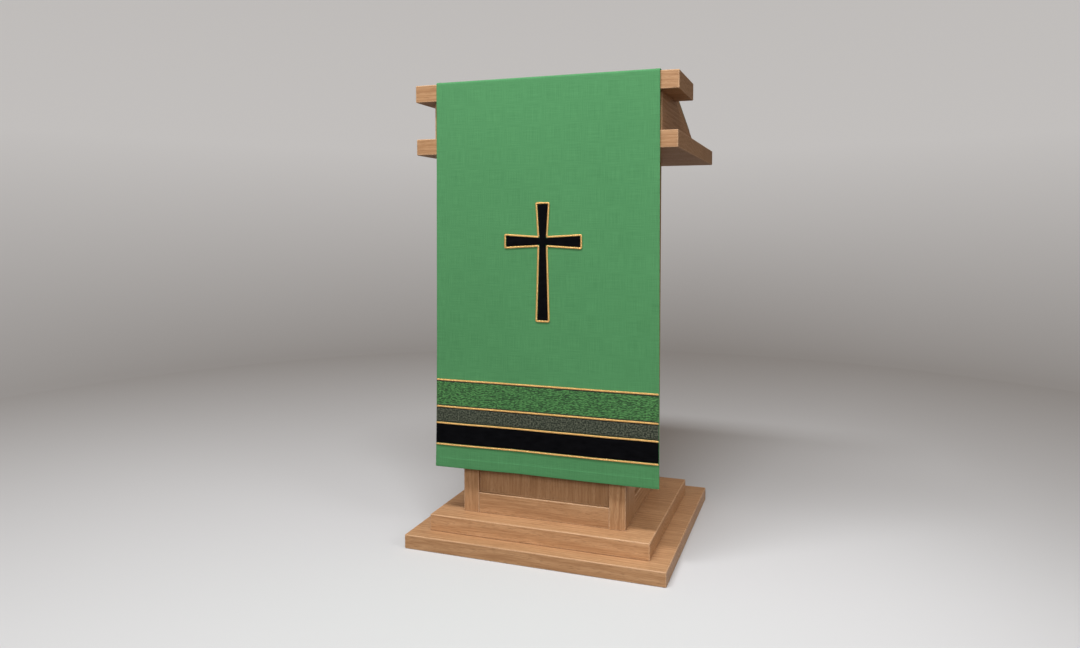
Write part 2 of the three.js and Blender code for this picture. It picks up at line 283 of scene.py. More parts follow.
def make_grain_group():
    """Oak along X: a tone from dark to light, its pores, and a relief."""
    inputs = {"Place": PLACE, "Shift": PLACE, "Rings per metre": NUMBER}
    outputs = {"Tone": NUMBER, "Pores": NUMBER, "Relief": NUMBER}
    tree, given, result = new_group("oak_grain", inputs, outputs)
    place = put(tree, "ShaderNodeVectorMath", {0: given["Place"], 1: given["Shift"]}).outputs["Vector"]
    slow = stretched(tree, place, (0.9, 5.0, 5.0))
    sway = put(tree, "ShaderNodeTexNoise", {"Vector": slow, "Scale": 1.6, "Detail": 2.0}).outputs["Color"]
    centred = put(tree, "ShaderNodeVectorMath", {0: sway, 1: (0.5, 0.5, 0.5)}, operation="SUBTRACT")
    leaning = stretched(tree, centred.outputs["Vector"], (0.0, 0.05, 0.05))
    bent = put(tree, "ShaderNodeVectorMath", {0: place, 1: leaning}).outputs["Vector"]

    log = stretched(tree, bent, (0.06, 1.0, 1.0))
    ring_feeds = {"Vector": log, "Scale": given["Rings per metre"], "Distortion": 1.5, "Detail": 2.0}
    ring_node = put(tree, "ShaderNodeTexWave", ring_feeds, wave_type="RINGS", rings_direction="X")
    rings = ring_node.outputs["Fac"]
    fibres = noise(tree, bent, FIBRES_PER_METRE, 3.0)
    clouds = noise(tree, place, CLOUDS_PER_METRE)
    pores = spread(tree, noise(tree, bent, PORES_PER_METRE, 1.0), 0.56, 0.70)

    tone = reckon(tree, "MULTIPLY_ADD", rings, 0.14, -0.08)
    tone = reckon(tree, "MULTIPLY_ADD", fibres, 0.76, tone)
    tone = reckon(tree, "MULTIPLY_ADD", clouds, 0.26, tone)
    pores = reckon(tree, "MULTIPLY", pores, spread(tree, rings, 0.1, 0.9, 0.4, 1.0))
    relief = reckon(tree, "SUBTRACT", reckon(tree, "MULTIPLY", fibres, 0.35), pores)
    tree.links.new(tone, result["Tone"])
    tree.links.new(pores, result["Pores"])
    tree.links.new(relief, result["Relief"])
    return tree


grain_group = make_grain_group()
print("grain group has", len(grain_group.nodes), "nodes")

# %% [markdown]
# ## Edge wear and painted highlight
# Hands and cloths polish the edges of a board until they are a little paler than its faces, and a
# rounded arris catches the light: together they make a thin light line along every step. Here the
# line is a paler colour on every edge, partly wear and partly painted highlight. It could be painted
# board by board. Instead, a group compares the surface's direction with the direction it would have
# if the edge were rounded: they differ only near an edge.

# %% Edge wear and highlight group
def make_wear_and_highlight_group():
    """A mask for the paler edges, partly wear and partly painted highlight: 1 on a board's edges and 0 a
    little way from them.
    """
    tree, given, result = new_group("edge_wear_and_highlight", {"Width": NUMBER}, {"Wear and highlight": NUMBER})
    softened_way = put(tree, "ShaderNodeBevel", {"Radius": given["Width"]}, samples=4).outputs["Normal"]
    true_way = put(tree, "ShaderNodeNewGeometry").outputs["Normal"]
    agree = put(tree, "ShaderNodeVectorMath", {0: softened_way, 1: true_way}, operation="DOT_PRODUCT")
    tree.links.new(spread(tree, agree.outputs["Value"], 0.99, 0.93), result["Wear and highlight"])
    return tree


wear_and_highlight_group = make_wear_and_highlight_group()
print("worn edge group has", len(wear_and_highlight_group.nodes), "nodes")

# %% [markdown]
# ## Oak boards
# The lectern is satin oak. Every board gets its own copy of one finish: its place is turned so that
# its grain runs the way a joiner would lay it, and shifted so that no two boards come from the same
# spot of the log. The steps are a little paler, as painted light, and the panels under the cloth a
# little darker, as painted shade. The boards keep their shape, and a bevel modifier rounds their
# edges by half a millimetre.

# %% Oak colours
OAK_TONES = [
    (0.22, (0.292, 0.148, 0.070)),
    (0.50, (0.432, 0.243, 0.123)),
    (0.82, (0.562, 0.341, 0.189)),
]


def oak_colour(tree, tone, painted_lightness):
    """Dark, middle and light oak along one ramp."""
    ramp = put(tree, "ShaderNodeValToRGB", {"Fac": tone})
    stops = ramp.color_ramp.elements
    stops.new(0.5)
    for stop, (position, colour) in zip(stops, OAK_TONES):
        stop.position = position
        stop.color = [channel * painted_lightness for channel in colour] + [1.0]
    return ramp.outputs["Color"]


print("oak has", len(OAK_TONES), "tones")

# %% Oak finish
PORE_COLOUR = (0.170, 0.078, 0.034, 1.0)
PORE_SHARE = 0.55
# Paler edges: partly wear, partly a painted highlight of the arris catching the light.
WEAR_AND_HIGHLIGHT_COLOUR = (0.860, 0.620, 0.420, 1.0)
WEAR_AND_HIGHLIGHT_SHARE = 0.75
WEAR_AND_HIGHLIGHT_WIDTH = 1.6 * MM
RINGS_PER_METRE = 30.0
GRAIN_ORDER = {"X": "XYZ", "Y": "YZX", "Z": "ZXY"}


def make_oak(name, grain, shift, painted_lightness):
    """Satin oak whose grain runs along one axis."""
    gloss = {"Specular_IOR_Level": 0.08, "Coat_Weight": 0.05, "Coat_Roughness": 0.24}
    material, tree, shader = new_finish(name, **gloss)
    parts = put(tree, "ShaderNodeSeparateXYZ", {0: put(tree, "ShaderNodeTexCoord").outputs["Object"]})
    turned_feeds = {i: parts.outputs[axis] for i, axis in enumerate(GRAIN_ORDER[grain])}
    turned = put(tree, "ShaderNodeCombineXYZ", turned_feeds).outputs["Vector"]
    grain_feeds = {"Place": turned, "Shift": shift, "Rings per metre": RINGS_PER_METRE}
    wood = put(tree, "ShaderNodeGroup", grain_feeds, node_tree=grain_group).outputs
    edges = put(tree, "ShaderNodeGroup", {"Width": WEAR_AND_HIGHLIGHT_WIDTH}, node_tree=wear_and_highlight_group).outputs

    colour = oak_colour(tree, wood["Tone"], painted_lightness)
    colour = between(tree, reckon(tree, "MULTIPLY", wood["Pores"], PORE_SHARE), colour, PORE_COLOUR)
    # Paler edges, partly wear and partly painted highlight.
    colour = between(tree, reckon(tree, "MULTIPLY", edges["Wear and highlight"], WEAR_AND_HIGHLIGHT_SHARE), colour, WEAR_AND_HIGHLIGHT_COLOUR)
    tree.links.new(colour, shader.inputs["Base Color"])
    tree.links.new(spread(tree, wood["Tone"], 0.2, 0.8, 0.48, 0.34), shader.inputs["Roughness"])
    raise_surface(tree, shader, wood["Relief"], 0.25 * MM, 0.6)
    return material


print("worn edges are", WEAR_AND_HIGHLIGHT_WIDTH / MM, "mm wide")

# %% Boards and their grain
SIDES = ("left", "right")
FACES = ("front", "back")
TIERS = ("low", "top")
# Each row's tone scales its oak colour: paler steps are painted light, darker panels under the cloth
# painted shade.
BOARDS = [
    {"nodes": ["lower_step"], "grain": "X", "tone": 1.14},
    {"nodes": ["upper_step"], "grain": "X", "tone": 1.18},
    {"nodes": ["shelf", "top_board"], "grain": "X", "tone": 0.93},
    {"nodes": ["reading_board", "head_front"], "grain": "X", "tone": 0.95},
    {"nodes": ["head_side_left", "head_side_right"], "grain": "Y", "tone": 0.95},
    {"nodes": [f"post_{face}_{side}" for face in FACES for side in SIDES], "grain": "Z", "tone": 1.0},
    {"nodes": [f"panel_{side}" for side in FACES + SIDES], "grain": "Z", "tone": 0.88},
    {"nodes": [f"rail_{tier}_{side}" for tier in TIERS for side in FACES], "grain": "X", "tone": 1.0},
    {"nodes": [f"rail_{tier}_{side}" for tier in TIERS for side in SIDES], "grain": "Y", "tone": 1.0},
]
EDGE_ROUNDING = 0.5 * MM
boards = [(node, row) for row in BOARDS for node in row["nodes"]]
for number, (node, row) in enumerate(boards, start=1):
    off_heart = 0.09 + 0.05 * math.sin(2.4 * number)
    shift = (0.83 * number, off_heart, 0.07 * math.cos(1.7 * number) - 0.09)
    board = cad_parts[node]
    board.data.materials.clear()
    board.data.materials.append(make_oak(f"oak_{node}", row["grain"], shift, row["tone"]))
    rounding = board.modifiers.new("rounded_edges", "BEVEL")
    rounding.width = EDGE_ROUNDING
    rounding.segments = 3
    rounding.limit_method = "ANGLE"
    rounding.angle_limit = math.radians(30)
print("boards finished:", len(boards))

# %% [markdown]
# ## The line the cloth follows
# Seen from the side, the cloth is one line: up from the hem, over the front edge, flat on the top
# board, over the back edge and down to lie on the reading board. A cloth simulation could find it,
# but the line is simple enough to say. Its heading changes only in the bends, and evenly there, so
# a short table of runs and bends gives the heading at every point, and adding up small steps gives
# the place. The same line serves everything that is sewn to the cloth, so nothing can float off it.

# %% Sizes of the cloth and of its bends
CLOTH_WIDTH = 561 * MM
CLOTH_FLARE = 8 * MM
CLOTH_LENGTH = 1400 * MM
CLOTH_HALF = 1 * MM
OFF_CENTRE = 8.5 * MM
SEAM = 0.3 * MM
EDGE_EASE = 1.5 * MM
EDGE_CLEARANCE = 2 * MM
EDGE_BEND = EDGE_CLEARANCE + CLOTH_HALF + EDGE_EASE
DIP = math.radians(4)
DIP_BEND = 60 * MM
LEAVE = math.radians(55)
LANDING_BEND = 25 * MM
READING_SLOPE = math.radians(18.8)

top_low, top_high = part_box("top_board")
reading_low, reading_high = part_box("reading_board")
hem_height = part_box("fall_cloth")[0].z
bend_height = top_high.z - EDGE_EASE
DROP = bend_height - hem_height
print("the cloth drops", round(DROP, 3), "m in front")

# %% Runs between the bends
sink = EDGE_BEND * math.cos(DIP) - EDGE_EASE - SEAM - CLOTH_HALF - DIP_BEND * (1 - math.cos(DIP))
dip_run = sink / math.sin(DIP)
bend_to_flat = (EDGE_BEND + DIP_BEND) * math.sin(DIP) + dip_run * math.cos(DIP)
flat_run = top_high.y - top_low.y - 2 * EDGE_EASE - 2 * bend_to_flat
leave_y = top_high.y - EDGE_EASE + EDGE_BEND * math.sin(LEAVE)
leave_z = bend_height + EDGE_BEND * math.cos(LEAVE)
slope_z = reading_high.z - (leave_y - reading_low.y) * math.tan(READING_SLOPE)
above_slope = (leave_z - slope_z) * math.cos(READING_SLOPE) - SEAM - CLOTH_HALF
LANDING = LEAVE - READING_SLOPE
fall_run = above_slope / math.sin(LANDING) - LANDING_BEND * math.tan(LANDING / 2)
print("it lies flat on the top board for", round(flat_run, 3), "m")

# %% Line of the cloth
RUNS_AND_BENDS = [
    {"length": DROP, "turn": 0.0},
    {"length": EDGE_BEND * (math.pi / 2 + DIP), "turn": math.pi / 2 + DIP},
    {"length": dip_run, "turn": 0.0},
    {"length": DIP_BEND * DIP, "turn": -DIP},
    {"length": flat_run, "turn": 0.0},
    {"length": DIP_BEND * DIP, "turn": -DIP},
    {"length": dip_run, "turn": 0.0},
    {"length": EDGE_BEND * (DIP + LEAVE), "turn": DIP + LEAVE},
    {"length": fall_run, "turn": 0.0},
    {"length": LANDING_BEND * LANDING, "turn": -LANDING},
]
tail_run = CLOTH_LENGTH - sum(row["length"] for row in RUNS_AND_BENDS)
RUNS_AND_BENDS.append({"length": tail_run, "turn": 0.0})

FINE_STEP = 0.25 * MM
ends = np.cumsum([0.0] + [row["length"] for row in RUNS_AND_BENDS])
end_headings = math.pi / 2 - np.cumsum([0.0] + [row["turn"] for row in RUNS_AND_BENDS])
fine = np.arange(0.0, CLOTH_LENGTH + FINE_STEP, FINE_STEP)
heading = np.interp(fine, ends, end_headings)
step_heading = (heading[1:] + heading[:-1]) / 2
start_y = top_low.y - EDGE_CLEARANCE - CLOTH_HALF
line_y = start_y + np.concatenate([[0.0], np.cumsum(np.cos(step_heading) * FINE_STEP)])
line_z = hem_height + np.concatenate([[0.0], np.cumsum(np.sin(step_heading) * FINE_STEP)])
print("its tail on the reading board is", round(tail_run, 3), "m long")

# %% [markdown]
# ## How the cloth wanders
# Hanging cloth is never quite flat. Below the cross it swings out a little at its left corner and
# has a few broad, shallow swells, and all over there is a faint unevenness of a fraction of a
# millimetre, which is what makes the light on it look like light on cloth. A table holds the
# swells. A few sine waves, long and out of step with each other, make the rest.

# %% Wander of the cloth
SWELL_START = 345 * MM
SWELL_POWER = 1.5
SWELLS = [
    {"across": -280 * MM, "width": 170 * MM, "depth": 8.0 * MM},
    {"across": -60 * MM, "width": 110 * MM, "depth": -1.5 * MM},
    {"across": 120 * MM, "width": 100 * MM, "depth": 2.0 * MM},
    {"across": 262 * MM, "width": 80 * MM, "depth": -1.2 * MM},
]
RIPPLES = [
    {"across": 190 * MM, "along": 610 * MM, "phase": 0.4, "depth": 0.45 * MM},
    {"across": 118 * MM, "along": -380 * MM, "phase": 1.9, "depth": 0.30 * MM},
    {"across": -74 * MM, "along": 520 * MM, "phase": 4.1, "depth": 0.16 * MM},
    {"across": 350 * MM, "along": 145 * MM, "phase": 2.7, "depth": 0.18 * MM},
]


def wander(across, along):
    """How far the cloth stands out from its line."""
    out = np.zeros(np.shape(across))
    swinging = np.clip(1 - along / SWELL_START, 0, 1) ** SWELL_POWER
    for swell in SWELLS:
        off = (across - swell["across"]) / swell["width"]
        out = out + swinging * swell["depth"] * np.exp(-(off**2))
    loose = np.clip(1 - along / DROP, 0, 1) ** 0.5
    for ripple in RIPPLES:
        waves = across / ripple["across"] + along / ripple["along"]
        out = out + loose * ripple["depth"] * np.sin(2 * math.pi * waves + ripple["phase"])
    return out


print("the left corner of the hem swings out", round(float(wander(-CLOTH_WIDTH / 2, 0.0)) / MM, 1), "mm")

# %% Places on the fall
def on_fall(across, along, lift):
    """Points in space: across from the fall's middle, along from its hem, lifted from mid cloth."""
    turn = np.interp(along, fine, heading)
    out = lift + wander(across, along)
    widening = 1 + CLOTH_FLARE / CLOTH_WIDTH * np.clip(1 - along / DROP, 0, 1)
    x = OFF_CENTRE + across * widening
    y = np.interp(along, fine, line_y) - out * np.sin(turn)
    z = np.interp(along, fine, line_z) + out * np.cos(turn)
    return np.stack([x, y, z], axis=-1)


corner = on_fall(np.array([-CLOTH_WIDTH / 2]), np.array([0.0]), np.array([0.0]))[0]
print("that corner lies at", [round(float(value), 4) for value in corner])

# %% [markdown]
# ## Sheets with two faces
# Cloth has a face, a back and a rim. A plane with a solidify modifier has them too, but its rim is
# square and its thickness is the same everywhere. Every flat piece here is a grid of places on the
# fall that is lifted twice, once for each face, and closed along its rim. Rows crowd together near
# the rim, so that the edge can be rounded like a folded hem. The grid keeps its places on the cloth
# as a map in metres, and the weave follows that map.

# %% Grids and rims
RIM_SHARES = np.array([0.0, 0.06, 0.2, 0.42, 0.7, 1.0])


def rimmed_stops(low, high, step, rim, extra=()):
    """Even stops from low to high, with close ones inside each end for a rounded rim."""
    count = max(2, int(round((high - low - 2 * rim) / step)))
    even = np.linspace(low + rim, high - rim, count + 1)
    stops = [low + rim * RIM_SHARES, even, high - rim * RIM_SHARES, np.asarray(extra, float)]
    return np.unique(np.round(np.concatenate(stops), 7))


def grid_faces(rows, columns):
    """Four-sided faces between the points of a grid that is stored row by row."""
    low = (np.arange(rows - 1)[:, None] * columns + np.arange(columns - 1)).ravel()
    return np.stack([low, low + 1, low + columns + 1, low + columns], axis=-1)


def grid(across_stops, along_stops):
    """The places of a grid and its faces."""
    across, along = np.meshgrid(across_stops, along_stops)
    places = np.stack([across.ravel(), along.ravel()], axis=-1)
    return places, grid_faces(len(along_stops), len(across_stops))


def rounded(distance, radius):
    """Share of full thickness at a distance from the rim, for a rim of that radius."""
    inside = np.clip(distance / radius, 0.02, 1)
    return np.sqrt(1 - (1 - inside) ** 2)


print("stops across 10 mm:", np.round(rimmed_stops(0.0, 10.0, 5.0, 1.0), 2).tolist())

# %% Pieces
def add_piece(name, points, faces, surface_places, finish, node):
    """A mesh with its map and finish, which rides on the lectern and stands for one node."""
    mesh = bpy.data.meshes.new(name)
    mesh.from_pydata(points.tolist(), [], faces)
    mesh.polygons.foreach_set("use_smooth", [True] * len(mesh.polygons))
    mesh.materials.append(finish)
    corners = np.empty(len(mesh.loops), dtype=np.int32)
    mesh.loops.foreach_get("vertex_index", corners)
    layer = mesh.uv_layers.new(name="metres")
    layer.data.foreach_set("uv", surface_places[corners].astype(np.float32).ravel())
    piece = bpy.data.objects.new(name, mesh)
    scene.collection.objects.link(piece)
    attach(piece, "root")
    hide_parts(node)
    print(name, "has", len(faces), "faces")
    return piece


def two_faced(name, places, quads, upper, lower, finish, slot, node):
    """A closed sheet on the fall, with its face lifted by upper and its back by lower."""
    count = len(places)
    face_points = on_fall(places[:, 0], places[:, 1], upper)
    back_points = on_fall(places[:, 0], places[:, 1], lower)
    sides = [quads[:, [0, 1]], quads[:, [1, 2]], quads[:, [2, 3]], quads[:, [3, 0]]]
    edges = np.concatenate(sides).tolist()
    known = set(map(tuple, edges))
    rim = [(b, a, a + count, b + count) for a, b in edges if (b, a) not in known]
    faces = quads.tolist() + (quads[:, ::-1] + count).tolist() + rim
    points = np.vstack([face_points, back_points])
    return add_piece(name, points, faces, np.vstack([places, places]), finish, node)


print("sheets are made by", two_faced.__name__)

# %% [markdown]
# ## Weave
# Church cloth for a fall is a firm plain weave: threads over and under each other, some a little
# thicker than the rest. Seen from a step away the single threads melt together and only the thick
# ones show, as faint streaks along and across. Real threads in the mesh would be millions of faces,
# so one node group makes both from the map in metres, and every woven cloth uses it.

# %% Weave group
STREAK_SLENDERNESS = 40.0


def make_weave_group():
    """Crossing threads and the streaks of the thicker ones."""
    inputs = {"Place": PLACE, "Threads per metre": NUMBER, "Streaks per metre": NUMBER}
    tree, given, result = new_group("plain_weave", inputs, {"Threads": NUMBER, "Streaks": NUMBER})
    turns = reckon(tree, "MULTIPLY", given["Threads per metre"], math.pi)
    wound = put(tree, "ShaderNodeVectorMath", {0: given["Place"], "Scale": turns}, operation="SCALE")
    parts = put(tree, "ShaderNodeSeparateXYZ", {0: wound.outputs["Vector"]}).outputs
    warp_wave = reckon(tree, "SINE", parts["X"])
    weft_wave = reckon(tree, "SINE", parts["Y"])
    crossing = reckon(tree, "MULTIPLY", warp_wave, weft_wave)
    threads = reckon(tree, "MULTIPLY_ADD", crossing, 0.5, 0.5)

    streak_feeds = {0: given["Place"], "Scale": given["Streaks per metre"]}
    streak_place = put(tree, "ShaderNodeVectorMath", streak_feeds, operation="SCALE").outputs["Vector"]
    weft = noise(tree, streak_place, (1.0, STREAK_SLENDERNESS, 1.0), 3.0)
    warp = noise(tree, streak_place, (STREAK_SLENDERNESS, 1.0, 1.0), 3.0)
    streaks = reckon(tree, "MULTIPLY", reckon(tree, "ADD", weft, warp), 0.5)
    tree.links.new(threads, result["Threads"])
    tree.links.new(streaks, result["Streaks"])
    return tree


def woven(tree, place, threads, streaks):
    """Places the weave in a finish."""
    feeds = {"Place": place, "Threads per metre": threads, "Streaks per metre": streaks}
    return put(tree, "ShaderNodeGroup", feeds, node_tree=weave_group).outputs


def cloth_place(tree):
    """The place on the cloth, in metres."""
    return put(tree, "ShaderNodeUVMap", uv_map="metres").outputs["UV"]


weave_group = make_weave_group()
print("weave group has", len(weave_group.nodes), "nodes")

# %% [markdown]
# ## The green cloth
# The ground of the fall is a mid green, matt, with a soft bloom at grazing angles that a sheen
# layer gives. Its threads are too fine for the mesh, so they are relief in the light, and its
# streaks shift the colour by a few hundredths. All round runs a turned hem, where the cloth is
# double: that is real thickness in the mesh, with a soft step at its inner edge.

# %% Green finish
GREEN_DEEP = (0.054, 0.210, 0.079, 1.0)
GREEN_PALE = (0.090, 0.304, 0.121, 1.0)


def make_green():
    """Matt green cloth with a soft bloom."""
    bloom = {"Sheen_Weight": 0.12, "Sheen_Roughness": 0.5, "Sheen_Tint": (0.75, 1.0, 0.8, 1.0)}
    matt = {"Roughness": 0.85, "Specular_IOR_Level": 0.25}
    material, tree, shader = new_finish("green_ground", **matt, **bloom)
    place = cloth_place(tree)
    weave = woven(tree, place, 1500.0, 20.0)
    streaks = spread(tree, weave["Streaks"], 0.34, 0.66)
    tone = reckon(tree, "MULTIPLY_ADD", noise(tree, place, (4.5, 4.5, 4.5)), 0.25, -0.15)
    tone = reckon(tree, "MULTIPLY_ADD", streaks, 0.75, tone)
    tone = reckon(tree, "MULTIPLY_ADD", weave["Threads"], 0.22, tone)
    tree.links.new(between(tree, tone, GREEN_DEEP, GREEN_PALE), shader.inputs["Base Color"])
    height = reckon(tree, "MULTIPLY_ADD", streaks, 0.5, weave["Threads"])
    raise_surface(tree, shader, height, 0.15 * MM, 0.7)
    return material


green_ground = make_green()
print("made", green_ground.name)

# %% Hem
HEM_SIDE = 12 * MM
HEM_END = 24 * MM
HEM_STEP = 1.5 * MM
HEM_FACE = 0.35 * MM
HEM_BACK = 0.2 * MM


def in_hem(distance, width):
    """One inside a hem of that width, falling softly to nothing at its inner edge."""
    share = np.clip((width - distance) / HEM_STEP, 0, 1)
    return share * share * (3 - 2 * share)


def hem_stops(width, low, high):
    """Close stops where the hem ends, at both ends of a range."""
    offsets = np.linspace(width - HEM_STEP, width, 4)
    return np.concatenate([low + offsets, high - offsets])


print("hem is", HEM_SIDE / MM, "mm wide at the sides and", HEM_END / MM, "mm at the ends")

# %% Fall cloth
CLOTH_STEP = 7 * MM
BEND_STEP = math.radians(8)
half_width = CLOTH_WIDTH / 2
bend_stops = [
    np.linspace(ends[i], ends[i + 1], 2 + int(abs(row["turn"]) / BEND_STEP))
    for i, row in enumerate(RUNS_AND_BENDS)
    if row["turn"]
]
side_hems = hem_stops(HEM_SIDE, -half_width, half_width)
end_hems = hem_stops(HEM_END, 0.0, CLOTH_LENGTH)
across_stops = rimmed_stops(-half_width, half_width, CLOTH_STEP, CLOTH_HALF, side_hems)
close_stops = np.concatenate([end_hems, *bend_stops])
along_stops = rimmed_stops(0.0, CLOTH_LENGTH, CLOTH_STEP, CLOTH_HALF, close_stops)
places, quads = grid(across_stops, along_stops)
to_side = half_width - np.abs(places[:, 0])
to_end = np.minimum(places[:, 1], CLOTH_LENGTH - places[:, 1])
rim = rounded(np.minimum(to_side, to_end), CLOTH_HALF)
hem = np.maximum(in_hem(to_side, HEM_SIDE), in_hem(to_end, HEM_END))
upper = rim * (CLOTH_HALF + HEM_FACE * hem)
lower = -rim * (CLOTH_HALF + HEM_BACK * hem)
fall_cloth = two_faced(
    "fall_cloth_sheet", places, quads, upper, lower, green_ground, "green_cloth", "fall_cloth"
)
print("with its hem it is", round(float((upper - lower).max()) / MM, 2), "mm thick")

# %% [markdown]
# ## Three bands
# Across the lower front run three bands of other cloth, with a gold cord along every edge. They are
# laid out from the hem upwards: a cord, a band, a cord, a band. Each place follows from the one
# below it, so one width can change without the others being measured again.

# %% Places of the bands
CORD_WIDTH = 5 * MM
LOWEST_CORD = 58 * MM
TRIM_INSET = 1 * MM
BANDS = {"band_black": 48 * MM, "band_grey": 36 * MM, "band_bright_green": 62 * MM}
cord_middles = [LOWEST_CORD]
band_ends = {}
for name, width in BANDS.items():
    low = cord_middles[-1] + CORD_WIDTH / 2 + SEAM
    band_ends[name] = (low, low + width)
    cord_middles.append(low + width + SEAM + CORD_WIDTH / 2)
print("cords lie", [round(middle / MM, 1) for middle in cord_middles], "mm above the hem")

# %% [markdown]
# ## Painted shadow beside the cords
# Along each long edge of a band runs a fine dark line beside the cord: painted shadow of the cord.
# Close stitch ridges cross the same strip. Both are under a millimetre, so they are a mask and a
# small relief rather than mesh. Two bands have them, so they are a node group that is told where
# its band lies.

# %% Edge shadow group
EDGE_SHADOW_WIDTH = 1.8 * MM
STITCH_PITCH = 0.8 * MM
EDGE_SHADOW_BLUR = 0.4 * MM
# Dark line beside each cord: painted shadow of the cord.
EDGE_SHADOW_COLOUR = (0.010, 0.011, 0.012, 1.0)


def make_edge_shadow_group():
    """A mask of a band's edges, darkened there as painted shadow of the cord, and the ridges of stitch
    thread.
    """
    inputs = {"Place": PLACE, "Middle": NUMBER, "Inner half": NUMBER}
    tree, given, result = new_group("painted_edge_shadow", inputs, {"Shadowed": NUMBER, "Ridges": NUMBER})
    parts = put(tree, "ShaderNodeSeparateXYZ", {0: given["Place"]}).outputs
    from_middle = reckon(tree, "ABSOLUTE", reckon(tree, "SUBTRACT", parts["Y"], given["Middle"]))
    past = reckon(tree, "SUBTRACT", from_middle, given["Inner half"])
    shadowed = spread(tree, past, -EDGE_SHADOW_BLUR / 2, EDGE_SHADOW_BLUR / 2)
    waves = reckon(tree, "SINE", reckon(tree, "MULTIPLY", parts["X"], 2 * math.pi / STITCH_PITCH))
    tree.links.new(shadowed, result["Shadowed"])
    tree.links.new(reckon(tree, "MULTIPLY", waves, shadowed), result["Ridges"])
    return tree


def shade_band_edges(tree, place, band):
    """Places the painted edge shadow and its stitch ridges in a band's finish."""
    low, high = band_ends[band]
    feeds = {"Place": place, "Middle": (low + high) / 2, "Inner half": (high - low) / 2 - EDGE_SHADOW_WIDTH}
    return put(tree, "ShaderNodeGroup", feeds, node_tree=edge_shadow_group).outputs


edge_shadow_group = make_edge_shadow_group()
print("overcast edge group has", len(edge_shadow_group.nodes), "nodes")

# %% [markdown]
# ## Velvet
# Black velvet is a dense pile that swallows light: seen straight on it is nearly black, and only
# where the pile leans does it show a trace of grey. Hair would be the literal way to make it. A
# very dark, rough finish with a little sheen gives the same look for almost nothing, and that trace
# of grey is put into its colour in brushed patches, as painted sheen.

# %% Velvet finish
VELVET_DARK = (0.0008, 0.0009, 0.0014, 1.0)
VELVET_PAINTED_SHEEN = (0.0040, 0.0042, 0.0055, 1.0)


def make_velvet():
    """Black pile, with a trace of grey put into brushed patches of its colour as painted sheen."""
    bloom = {"Sheen_Weight": 0.03, "Sheen_Roughness": 0.3, "Sheen_Tint": (0.55, 0.56, 0.65, 1.0)}
    matt = {"Roughness": 0.95, "Specular_IOR_Level": 0.05}
    material, tree, shader = new_finish("velvet_pile", **matt, **bloom)
    place = cloth_place(tree)
    pile = noise(tree, place, (900.0, 900.0, 1.0))
    strokes = noise(tree, place, (40.0, 90.0, 1.0))
    # Brushed patches of painted sheen: a trace of grey where the pile would lean.
    painted_sheen = spread(tree, reckon(tree, "MULTIPLY", pile, strokes), 0.1, 0.42)
    tree.links.new(between(tree, painted_sheen, VELVET_DARK, VELVET_PAINTED_SHEEN), shader.inputs["Base Color"])
    raise_surface(tree, shader, pile, 0.3 * MM, 0.5)
    return material


velvet = make_velvet()
print("made", velvet.name)

# %% [markdown]
# ## Speckled weave
# The middle band is woven from dark and pale threads that come up at random, so from a step away it
# is a dark grey with grains of light in it. Noise at the scale of a few threads picks which colour
# shows, and mossy streaks keep it in the family of the greens around it.

# %% Speckled finish
THREAD_DARK = (0.010, 0.014, 0.010, 1.0)
THREAD_PALE = (0.110, 0.122, 0.086, 1.0)
THREAD_MOSS = (0.026, 0.044, 0.024, 1.0)


def make_speckled():
    """Dark cloth with grains of pale thread, and painted shadow with stitch ridges along its edges."""
    material, tree, shader = new_finish("speckled_threads", Specular_IOR_Level=0.3)
    place = cloth_place(tree)
    weave = woven(tree, place, 900.0, 50.0)
    edge = shade_band_edges(tree, place, "band_grey")
    flecks = noise(tree, place, (240.0, 280.0, 1.0), 1.0)
    colour = between(tree, spread(tree, flecks, 0.40, 0.66), THREAD_DARK, THREAD_PALE)
    colour = between(tree, spread(tree, weave["Streaks"], 0.42, 0.62, 0.0, 0.5), colour, THREAD_MOSS)
    # Painted shadow of the cords along the band's edges.
    colour = between(tree, edge["Shadowed"], colour, EDGE_SHADOW_COLOUR)
    tree.links.new(colour, shader.inputs["Base Color"])
    tree.links.new(spread(tree, flecks, 0.3, 0.7, 0.8, 0.55), shader.inputs["Roughness"])
    height = reckon(tree, "ADD", reckon(tree, "ADD", weave["Threads"], flecks), edge["Ridges"])
    raise_surface(tree, shader, height, 0.3 * MM, 0.7)
    return material


speckled = make_speckled()
print("made", speckled.name)

# %% [markdown]
# ## Crinkled brocade
# The bright green band has a crinkled face: short wavy ridges a few millimetres apart. They are big
# enough to catch the light one by one, so they are real relief in the mesh. The height of each point
# is also stored with the mesh, and the finish reads it to paint the colour: dark green in the
# valleys as painted shade, pale green on the ridges as painted light.

# %% Crinkles
CRINKLE_SEED = 11
CRINKLE_ROW = 5.2 * MM
CRINKLE_SWAY = 1.5
LATTICE = 256


def hills(across, along, cell_across, cell_along, seed):
    """Smooth random hills on a lattice of cells, from 0 to 1."""
    heights = np.random.default_rng(seed).random((LATTICE, LATTICE))
    u = across / cell_across
    v = along / cell_along
    i = np.floor(u).astype(int)
    j = np.floor(v).astype(int)
    u = (u - i) ** 2 * (3 - 2 * (u - i))
    v = (v - j) ** 2 * (3 - 2 * (v - j))
    right = (i + 1) % LATTICE
    beyond = (j + 1) % LATTICE
    near = heights[i % LATTICE, j % LATTICE] * (1 - u) + heights[right, j % LATTICE] * u
    far = heights[i % LATTICE, beyond] * (1 - u) + heights[right, beyond] * u
    return near * (1 - v) + far * v


